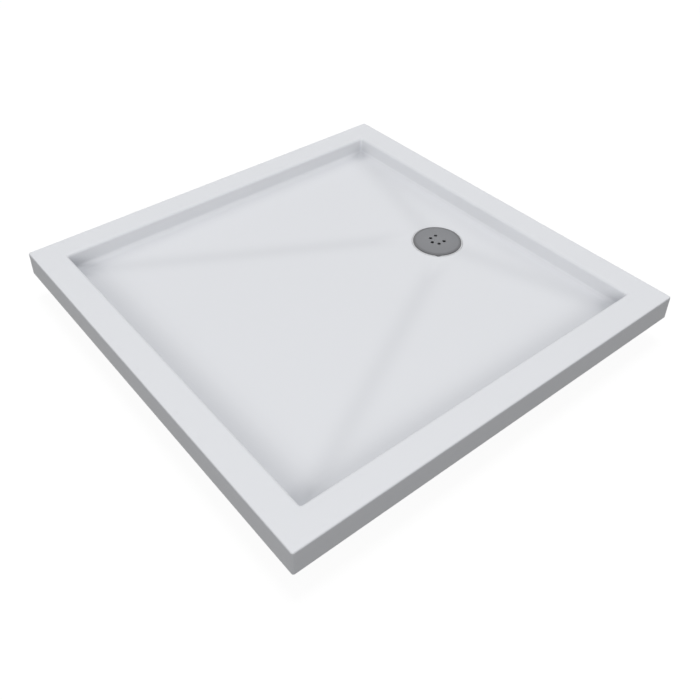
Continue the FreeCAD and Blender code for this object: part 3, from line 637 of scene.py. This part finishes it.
def cove_rows():
    """The wall's straight part and the cove: an arc that touches the wall and the fall, whose slope
    differs from side to side."""
    slope = slope_round_loop()
    fall_angle = np.arctan(slope)
    at_fall = floor_height(loop_xy(FOOT, COVE_CORNER * INNER_CORNER))
    meet = (RIM_Z - at_fall - slope * FALL_START) / (1 / WALL_LEAN - slope)
    meet_z = RIM_Z - meet / WALL_LEAN
    tangent = COVE * np.tan((WALL_ANGLE - fall_angle) / 2)
    centre = meet - tangent * math.cos(WALL_ANGLE) + COVE * math.sin(WALL_ANGLE)
    centre_z = meet_z + tangent * math.sin(WALL_ANGLE) + COVE * math.cos(WALL_ANGLE)
    rows = []
    for part in np.linspace(0, 1, 14):
        angle = WALL_ANGLE + (fall_angle - WALL_ANGLE) * part
        half = BASIN_HALF - (centre - COVE * np.sin(angle))
        radius = INNER_CORNER * (1 - (1 - COVE_CORNER) * part)
        rows.append(flat(loop_xy(half, radius), centre_z - COVE * np.cos(angle)))
    return rows


def floor_rows(outline):
    """From the cove's end in straight lines to the pad's square, where the rows crowd, then on to the
    round recess and hole."""
    square = loop_xy(PAD_HALF, PAD_CORNER, WASTE.y)
    rows = []
    for part in 1 - (1 - np.linspace(0, 1, 40)[1:]) ** FLOOR_CROWD:
        xy = outline * (1 - part) + square * part
        rows.append(flat(xy, floor_height(xy)))
    away = square - WASTE_XY
    direction = away / np.linalg.norm(away, axis=1, keepdims=True)
    lip = WASTE_XY + direction * (RECESS + RECESS_EDGE)
    for part in np.linspace(0, 1, 5)[1:]:
        xy = square * (1 - part) + lip * part
        rows.append(flat(xy, floor_height(xy)))
    level = floor_height(lip)
    for turn in np.linspace(0, np.pi / 2, 4)[1:]:
        xy = WASTE_XY + direction * (RECESS + RECESS_EDGE - RECESS_EDGE * math.sin(turn))
        rows.append(flat(xy, level - RECESS_EDGE * (1 - math.cos(turn))))
    bottom = WASTE.z - RECESS_DEPTH
    for turn in np.linspace(0, np.pi / 2, 4):
        xy = WASTE_XY + direction * (RECESS - RECESS_EDGE * (1 - math.cos(turn)))
        rows.append(flat(xy, bottom + RECESS_EDGE * (1 - math.sin(turn))))
    rows.append(flat(WASTE_XY + direction * WASTE_HOLE, bottom))
    return rows


def inner_skin(rows):
    """The rows moved by the sheet's thickness against the surface's normal, the cross product of the
    steps along and across the rows. Round the recess's lip they stop where the two walls meet."""
    along = np.roll(rows, -1, 1) - np.roll(rows, 1, 1)
    normal = np.cross(along, np.gradient(rows, axis=0))
    normal /= np.linalg.norm(normal, axis=2, keepdims=True)
    normal *= np.sign(normal[len(rows) // 2, :, 2].mean())
    skin = rows - SHEET * normal
    away = rows[..., :2] - WASTE_XY
    distance = np.linalg.norm(away, axis=2, keepdims=True)
    lip = ((distance < RECESS + SHEET) & (rows[..., 2:] > WASTE.z - MARGIN))[..., 0]
    skin[lip, :2] = (WASTE_XY + away / distance * (RECESS + SHEET))[lip]
    skin[lip, 2] = WASTE.z - SHEET
    return skin


def make_tray():
    """The acrylic shell: the seen skin of rows and the hidden one behind it, joined at both ends."""
    rows = np.array(tray_rows())
    loop = np.concatenate([rows, inner_skin(rows)[::-1], rows[:1]])
    piece = make_mesh("tray_skin", loop, grid_faces(len(loop), len(TURN)), sharp=50.0)
    points = np.empty(len(piece.data.vertices) * 3)
    piece.data.vertices.foreach_get("co", points)
    # the attribute carries the sheet's plain tone with painted shade, and painted light on the +Y wall
    layer = piece.data.attributes.new("painted_shade", "FLOAT", "POINT")
    layer.data.foreach_set("value", painted_shade_share(points.reshape(-1, 3)))
    return place(piece, "tray", "white_acrylic", "tray_shell")


# ---- waste cover ----------------------------------------------------------------------------------------
COVER_COUNT = 72                        # points round the cover; each of its six wedges has a sixth
COVER_RADIUS = 51.95 * MM
COVER_SHEET = 1.6 * MM
COVER_LIFT = 0.8 * MM                   # pad to the cover's lower edge
COVER_LEVEL = WASTE.z + COVER_LIFT
COVER_EDGE = 1.5 * MM                   # radius of the rolled edge
CROWN = COVER_HIGH.z
HOLE = 3.8 * MM                         # radius of a hole, and of the circle that they stand on
HOLE_CIRCLE = 15 * MM
HOLE_CROWD = 1.3                        # how much a wedge's rings crowd towards its hole
HOLE_TURNS = (150, 210, 270, 330, 30)   # degrees round from +X
BLANK_TURN = 90
WEDGE_INNER, WEDGE_OUTER = 5 * MM, 27 * MM
TAB_TURN = math.radians(-41.5)
TAB_REACH = 3.4 * MM
TAB_HALF = 8 * MM
TAB_BLEND = 8 * MM                      # the tab grows over this width of the cover's edge,
TAB_POWER = 1.5                         # by this power of the way across it
SPIGOT_OUTER, SPIGOT_INNER = 35.6 * MM, 34.0 * MM
SPIGOT_SLOT = 10 * MM
SPIGOT_BITE = 0.2 * MM                  # how far the ring reaches into the sheet
LUG = 2.5 * MM
LUG_BEVEL = 0.4 * MM
LUG_BITE = 1.5 * MM                     # how far a lug reaches above the cover's lower edge
LUG_CIRCLE = 47 * MM


def dome_height(radius):
    """Level of the cover's top: a shallow sphere from the crown to the edge."""
    rise = CROWN - (COVER_LEVEL + COVER_SHEET)
    ball = (COVER_RADIUS ** 2 + rise ** 2) / (2 * rise)
    return CROWN - ball + np.sqrt(ball ** 2 - np.minimum(radius, COVER_RADIUS) ** 2)


def wedge(turn, hole):
    """One sixth of the cover's middle, with a round hole: rings that pass in straight lines from the
    hole to the wedge's outline, which is two arcs and two radii."""
    steps, rings = COVER_COUNT // 6, 8
    half = np.pi / 6
    sweep = np.linspace(-half, half, steps, endpoint=False)
    climb = np.linspace(0, 1, steps, endpoint=False)
    reach = WEDGE_OUTER - WEDGE_INNER
    radii = np.concatenate([np.full(steps, WEDGE_OUTER), WEDGE_OUTER - reach * climb,
                            np.full(steps, WEDGE_INNER), WEDGE_INNER + reach * climb])
    turns = np.concatenate([sweep, np.full(steps, half), -sweep, np.full(steps, -half)])
    outline = np.stack([radii * np.cos(turns), radii * np.sin(turns)], -1)
    centre = np.array([HOLE_CIRCLE, 0.0])
    away = outline - centre
    start = centre + away / np.linalg.norm(away, axis=1, keepdims=True) * hole
    part = np.linspace(0, 1, rings)[:, None, None] ** HOLE_CROWD
    xy = (start * (1 - part) + outline * part).reshape(-1, 2)
    cos, sin = math.cos(math.radians(turn)), math.sin(math.radians(turn))
    return xy @ np.array([[cos, sin], [-sin, cos]]), grid_faces(rings, 4 * steps)


def cover_middle():
    """The disc inside the wedges."""
    turns, radii = all_round(COVER_COUNT), np.linspace(0, WEDGE_INNER, 4)[:, None]
    xy = np.stack([radii * np.cos(turns), radii * np.sin(turns)], -1).reshape(-1, 2)
    return xy, grid_faces(len(radii), COVER_COUNT)


def tab_bump(turns):
    """How far the lifting tab stands out at each turn round the edge: a squared cosine."""
    apart = np.abs((turns - TAB_TURN + np.pi) % (2 * np.pi) - np.pi) * COVER_RADIUS
    return TAB_REACH * np.cos(np.clip(apart / TAB_HALF, 0, 1) * np.pi / 2) ** 2


def cover_rim():
    """Rings from the wedges' outer arc over the rolled edge to the lower edge, with the tab grown out
    of the outermost ones. The last ring's level is the same all round."""
    turns = all_round(COVER_COUNT)
    flat_end = COVER_RADIUS - COVER_EDGE
    radii = list(np.linspace(WEDGE_OUTER, flat_end, 18))
    levels = list(dome_height(np.array(radii)))
    end_level = levels[-1]
    for roll in np.linspace(0, np.pi / 2, 7)[1:]:
        radii.append(flat_end + COVER_EDGE * math.sin(roll))
        levels.append(end_level - COVER_EDGE * (1 - math.cos(roll)))
    radii, levels = np.array([*radii, COVER_RADIUS]), np.array([*levels, COVER_LEVEL])
    grown = ramp(radii, COVER_RADIUS - TAB_BLEND, TAB_BLEND) ** TAB_POWER
    reach = radii[:, None] + grown[:, None] * tab_bump(turns)
    return polar_points(reach, levels[:, None], turns, WASTE), grid_faces(len(radii), COVER_COUNT)


def make_cover():
    """Domed, holed sheet with its thickness; the slotted ring and the lugs beneath are closed shells."""
    flats = [wedge(turn, HOLE) for turn in HOLE_TURNS] + [wedge(BLANK_TURN, 0.0), cover_middle()]
    parts = [(flat(xy + WASTE_XY, dome_height(np.linalg.norm(xy, axis=1))), faces) for xy, faces in flats]
    sheet = make_mesh("cover_sheet", *join_parts([*parts, cover_rim()]), sharp=50.0, thickness=COVER_SHEET)
    place(sheet, "drain_cover", "cover_grey", "drain_cover")
    top = dome_height(SPIGOT_INNER) - COVER_SHEET + SPIGOT_BITE
    shells = [turned(box_section(SPIGOT_INNER, SPIGOT_OUTER, COVER_LEVEL, top), WASTE, 96)]
    bar = box_section(SPIGOT_INNER, SPIGOT_OUTER, COVER_LOW.z, COVER_LEVEL)
    gap = SPIGOT_SLOT / 2 / SPIGOT_INNER
    for turn in all_round(4):
        shells.append(arc_bar(bar, WASTE, turn + gap, np.pi / 2 - 2 * gap, 20))
    lug = [(0, WASTE.z), (LUG - LUG_BEVEL, WASTE.z), (LUG, WASTE.z + LUG_BEVEL),
           (LUG, COVER_LEVEL + LUG_BITE), (0, COVER_LEVEL + LUG_BITE)]
    for turn in all_round(6):
        centre = (WASTE.x + LUG_CIRCLE * math.cos(turn), WASTE.y + LUG_CIRCLE * math.sin(turn))
        shells.append(turned(lug, centre, 20))
    ring = make_mesh("cover_ring", *join_parts(shells))
    place(ring, "drain_cover", "cover_grey")


# ---- levelling legs -------------------------------------------------------------------------------------
THREAD_PITCH = 1.75 * MM
THREAD_DEPTH = 0.9 * MM
THREAD_CREST = 5.97 * MM                # radius
THREAD_STRETCH, THREAD_DROP = 1.3, 0.15             # of its triangle wave, before it is cut flat at 0 and 1
THREAD_START = 1.2 * MM                 # height over which the thread grows to its depth
THREAD_END = 1 * MM                     # below the rod's top
HEX_FLATS = 14 * MM
HEX_CORNER = 1.3 * MM                   # how far its corners stand out from its flats
HEX_BEVEL = 0.8 * MM
HEX_LEVELS = (12 * MM, 17 * MM)
PIVOT = 4 * MM
PIVOT_BEVEL = 0.5 * MM
PAD = 25 * MM                           # the foot pad's radius
# the pad's edge from the top down, and a grip groove beneath it: out from the radius, and level
PAD_EDGE = np.array([(-0.4, 3.5), (0.0, 3.1), (0.0, 1.0), (-0.3, 0.3), (-1.0, 0.0)]) * MM
GRIP = np.array([(1.2, 0.0), (0.7, 0.7), (-0.7, 0.7), (-1.2, 0.0)]) * MM
GRIP_RADII = np.array([21, 17, 13, 9]) * MM
HUB = 10 * MM
HUB_BEVELS = (0.4 * MM, 0.7 * MM)       # inside and outside
SOCKET = PIVOT + 0.05 * MM              # the socket's radius, and the level of its floor
SOCKET_FLOOR = 4 * MM
TOP_RADII = np.array([10.3, 11, 13, 16, 19, 22, 24]) * MM           # the rings outside the hub
DISH = np.array([(10, 13, 25), (6.4, 5.5, 3.6)]) * MM               # radii and levels between the gussets,
GUSSET = np.array([(10, 24), (10.5, 3.7)]) * MM                     # and along their backs
GUSSET_TURN = np.pi / 4
GUSSET_HALF = 0.9 * MM                  # half its thickness, and its sides' run
GUSSET_SIDE = 0.6 * MM


def hex_radius(turns, flats):
    """Distance from the axis to a hexagon's side, its corners on whole sixths of a turn."""
    return flats / 2 / np.cos((turns % (np.pi / 3)) - np.pi / 6)


def make_rod(leg):
    """Screw rod: pivot, bevelled spanner hexagon and a screw thread.

    The thread's surface has the radius: crest less depth times a triangle wave, its peaks and roots
    cut flat, of the height over the pitch less the turn.
    """
    low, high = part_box("leg_rod_" + leg)
    turns = all_round(48)
    hex_low, hex_high = HEX_LEVELS
    levels = np.arange(hex_high, high.z - THREAD_END, THREAD_PITCH / 10)
    wave = np.abs((levels[:, None] / THREAD_PITCH - turns / (2 * np.pi)) % 1 - 0.5) * 2
    cut = np.clip(wave * THREAD_STRETCH - THREAD_DROP, 0, 1) * ramp(levels, hex_high, THREAD_START)[:, None]
    reach = THREAD_CREST - THREAD_DEPTH * cut
    hexagon = hex_radius(turns, HEX_FLATS)
    face = np.minimum(hexagon, HEX_FLATS / 2)
    side = np.minimum(hexagon, HEX_FLATS / 2 + HEX_CORNER)
    rings = [(0, low.z), (PIVOT - PIVOT_BEVEL, low.z), (PIVOT, low.z + PIVOT_BEVEL), (PIVOT, hex_low),
             (face, hex_low), (side, hex_low + HEX_BEVEL), (side, hex_high - HEX_BEVEL), (face, hex_high),
             *zip(reach, levels), (THREAD_CREST - THREAD_DEPTH, high.z), (0, high.z)]
    radius = np.array([np.full(len(turns), ring_radius) for ring_radius, _ in rings])
    level = np.array([ring_level for _, ring_level in rings])[:, None]
    points = polar_points(radius, level, turns, box_middle(low, high))
    piece = make_mesh("screw_rod_" + leg, points, grid_faces(len(rings), len(turns)), sharp=32.0)
    return place(piece, "rod_" + leg, "plated_steel", "leg_rod_" + leg)


def make_pad(leg):
    """Foot pad: a dished disc with a hub, eight gussets from hub to edge, and grip rings beneath.

    The top's level is the dish's plus the gussets', which is a flat-topped wave of the turn that
    slopes from the hub to the edge.
    """
    low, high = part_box("foot_pad_" + leg)
    count = 192
    turns = all_round(count)
    dish, back = np.interp(TOP_RADII, *DISH), np.interp(TOP_RADII, *GUSSET)
    apart = np.abs((turns / GUSSET_TURN + 0.5) % 1 - 0.5) * GUSSET_TURN * TOP_RADII[:, None]
    share = 1 - ramp(apart, GUSSET_HALF, GUSSET_SIDE)
    upper = dish[:, None] + np.maximum(back - dish, 0)[:, None] * share
    inner_bevel, outer_bevel = HUB_BEVELS
    hub = np.array([(0, SOCKET_FLOOR), (SOCKET, SOCKET_FLOOR),
                    (SOCKET, high.z - inner_bevel), (SOCKET + inner_bevel, high.z),
                    (HUB - outer_bevel, high.z), (HUB, high.z - outer_bevel)])
    grooves = (GRIP + np.stack([GRIP_RADII, np.zeros(len(GRIP_RADII))], -1)[:, None]).reshape(-1, 2)
    under = np.concatenate([PAD_EDGE + (PAD, 0), grooves, [(0, 0)]])
    radius = np.concatenate([hub[:, 0], TOP_RADII, under[:, 0]])[:, None]
    level = np.concatenate([np.repeat(hub[:, 1:], count, 1), upper, np.repeat(under[:, 1:], count, 1)])
    points = polar_points(radius, level, turns, box_middle(low, high))
    piece = make_mesh("levelling_foot_" + leg, points, grid_faces(len(radius), count), sharp=30.0)
    return place(piece, "foot_" + leg, "pad_plastic", "foot_pad_" + leg)


# ---- bracket screws -------------------------------------------------------------------------------------
SCREW_PITCH = 42 * MM                   # between a bracket's screws, each way
SCREW_LEVELS = (52 * MM, 54.4 * MM, 64 * MM)        # of the face, the neck and the tip
SCREW_HEAD, SCREW_SHANK = 4 * MM, 2 * MM            # radii
HEAD_EDGE = 0.25 * MM
SCREW_POINT = 3 * MM                    # length of the point
FACE_RADII = np.array([0, 0.35, 0.7, 1.0, 1.4, 1.9, 2.3, 2.6, 3.3, 3.8]) * MM
CROSS_DEPTH = 1.5 * MM
CROSS_HALF, CROSS_SIDE = 0.35 * MM, 0.25 * MM       # half a bar's width, and its side's run
CROSS_FULL, CROSS_END = 1.7 * MM, 0.9 * MM          # how far it is full, and its end's run


def make_screws():
    """Countersunk screws with a cross recess.

    A head's face is a polar grid sunk by the depth: greatest where either of two crossing bars is,
    fading at their sides and towards their ends.
    """
    turns = all_round(32)
    bar = FACE_RADII[:, None] * np.minimum(np.abs(np.cos(turns)), np.abs(np.sin(turns)))
    sunk = CROSS_DEPTH * (1 - ramp(bar, CROSS_HALF, CROSS_SIDE))
    sunk *= 1 - ramp(FACE_RADII, CROSS_FULL, CROSS_END)[:, None]
    face, neck, tip = SCREW_LEVELS
    shank = np.array([(SCREW_HEAD, face + HEAD_EDGE), (SCREW_SHANK, neck),
                      (SCREW_SHANK, tip - SCREW_POINT), (0, tip)])
    radius = np.concatenate([FACE_RADII, shank[:, 0]])[:, None]
    level = np.concatenate([face + sunk, np.repeat(shank[:, 1:], len(turns), 1)])
    faces = grid_faces(len(radius), len(turns))
    shells = []
    for leg in LEGS:
        low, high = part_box("leg_bracket_" + leg)
        middle = np.array(box_middle(low, high))
        for corner in ((-0.5, -0.5), (-0.5, 0.5), (0.5, -0.5), (0.5, 0.5)):
            centre = middle + SCREW_PITCH * np.array(corner)
            shells.append((polar_points(radius, level, turns, centre), faces))
    piece = make_mesh("screws", *join_parts(shells), sharp=32.0)
    return place(piece, "tray", "plated_screw", "bracket_screws")


def polish_cad():
    """Every CAD node that stays shown takes its slot's finish."""
    slots = {s["node"]: s["material_slot"] for s in frame["record"]["subparts"]}
    for name, node in frame["nodes"].items():
        node.data.materials.clear()
        node.data.materials.append(FINISH[slots[name]])


# ---- stage, light and camera ----------------------------------------------------------------------------
FLOOR_HALF = 12.0
FLOOR_SHADE, FLOOR_GLOW = 0.09, 0.94    # where it is seen: the part that takes shadow, and the glow
FLOOR_BOUNCE = 0.08                     # what it throws back onto the tray
SKY_STRENGTH = 0.42
OVERHEAD_PLACE = Vector((0.0, 0.0, 6.0))
OVERHEAD_SIZE, OVERHEAD_POWER = 2.0, 182.0
FRONT_SIZE, FRONT_POWER = 1.6, 21.0
FRONT_DISTANCE = 4.0
FRONT_TURN, FRONT_RISE = 46.0, 22.0     # degrees round from the front, and above the floor
VIEW_TURN, VIEW_RISE = 51.35, 36.29     # the same for the photograph's view
VIEW_DISTANCE = 1.699                   # from the camera to the rim's middle, along the view
VIEW_RIGHT, VIEW_UP = -0.0182, 0.0418   # how far the view passes beside the rim's middle
PICTURE = 700                           # the picture's side in pixels, and the lens's length
LENS = 862.5
AXIS_X, AXIS_Y = 329.8, 252.7           # where the view meets the picture, from its top left
SENSOR = 36.0


def grey(tone):
    return (tone, tone, tone, 1.0)


def towards(turn, rise):
    """A direction so many degrees round from the front and above the floor."""
    turn, rise = math.radians(turn), math.radians(rise)
    return Vector((math.sin(turn) * math.cos(rise), -math.cos(turn) * math.cos(rise), math.sin(rise)))


def seen_directly(net):
    """1 where the camera sees a surface, itself or by reflection or through something clear."""
    path = net.node("ShaderNodeLightPath").outputs
    direct = net.math("MAXIMUM", path["Is Camera Ray"], path["Is Transmission Ray"])
    return net.math("MAXIMUM", direct, path["Is Glossy Ray"])


def make_stage():
    """A wide pale floor. Where it is seen it is nearly white and keeps a faint shadow, and it throws
    little light back onto the tray."""
    corners = [(x * FLOOR_HALF, y * FLOOR_HALF, 0) for x, y in ((-1, -1), (1, -1), (1, 1), (-1, 1))]
    floor = make_mesh("floor", corners, [(0, 1, 2, 3)])
    material = bpy.data.materials.new("pale_floor")
    material.use_nodes = True
    net = Net(material.node_tree)
    net.tree.nodes.clear()
    shaded = net.node("ShaderNodeBsdfDiffuse", {"Color": grey(FLOOR_SHADE)}).outputs[0]
    glow = net.node("ShaderNodeEmission", {"Color": grey(1.0), "Strength": FLOOR_GLOW}).outputs[0]
    seen = net.node("ShaderNodeAddShader", {0: shaded, 1: glow}).outputs[0]
    bounce = net.node("ShaderNodeBsdfDiffuse", {"Color": grey(FLOOR_BOUNCE)}).outputs[0]
    pick = net.node("ShaderNodeMixShader", {0: seen_directly(net), 1: bounce, 2: seen}).outputs[0]
    net.node("ShaderNodeOutputMaterial", {0: pick})
    floor.data.materials.append(material)


def add_lamp(name, spot, size, power):
    """A round soft lamp that faces the middle of the floor under the tray."""
    lamp = bpy.data.lights.new(name, "AREA")
    lamp.shape = "DISK"
    lamp.size = size
    lamp.energy = power
    holder = bpy.data.objects.new(name, lamp)
    holder.location = spot
    holder.rotation_euler = spot.to_track_quat("Z", "Y").to_euler()
    bpy.context.scene.collection.objects.link(holder)


def make_light():
    """A lamp high overhead, a broad low one on the photograph's side, and a dim even sky that looks
    white where it is seen."""
    add_lamp("overhead", OVERHEAD_PLACE, OVERHEAD_SIZE, OVERHEAD_POWER)
    add_lamp("front", FRONT_DISTANCE * towards(FRONT_TURN, FRONT_RISE), FRONT_SIZE, FRONT_POWER)
    world = bpy.data.worlds.new("studio")
    bpy.context.scene.world = world
    world.use_nodes = True
    net = Net(world.node_tree)
    shade = world.node_tree.nodes["Background"]
    shade.inputs["Color"].default_value = grey(1.0)
    strength = net.math("MULTIPLY_ADD", seen_directly(net), 1.0 - SKY_STRENGTH, SKY_STRENGTH)
    net.link(strength, shade.inputs["Strength"])


def make_camera():
    """The photograph's view, its frame cut off-centre."""
    back = towards(VIEW_TURN, VIEW_RISE)
    right = Vector((math.cos(math.radians(VIEW_TURN)), math.sin(math.radians(VIEW_TURN)), 0.0))
    up = back.cross(right)
    rim = Vector((0.0, 0.0, RIM_Z))
    camera = bpy.data.cameras.new("camera")
    camera.sensor_width = SENSOR
    camera.lens = LENS / PICTURE * SENSOR
    camera.shift_x = (PICTURE / 2 - AXIS_X) / PICTURE
    camera.shift_y = (AXIS_Y - PICTURE / 2) / PICTURE
    holder = bpy.data.objects.new("camera", camera)
    spot = rim + back * VIEW_DISTANCE + right * VIEW_RIGHT + up * VIEW_UP
    holder.matrix_world = Matrix.Translation(spot) @ Matrix((right, up, back)).transposed().to_4x4()
    bpy.context.scene.collection.objects.link(holder)
    bpy.context.scene.camera = holder


make_camera()
make_light()
make_stage()
polish_cad()
make_tray()
make_cover()
for leg in LEGS:
    make_rod(leg)
    make_pad(leg)
make_screws()
scene = bpy.context.scene
scene.view_settings.view_transform = "Standard"
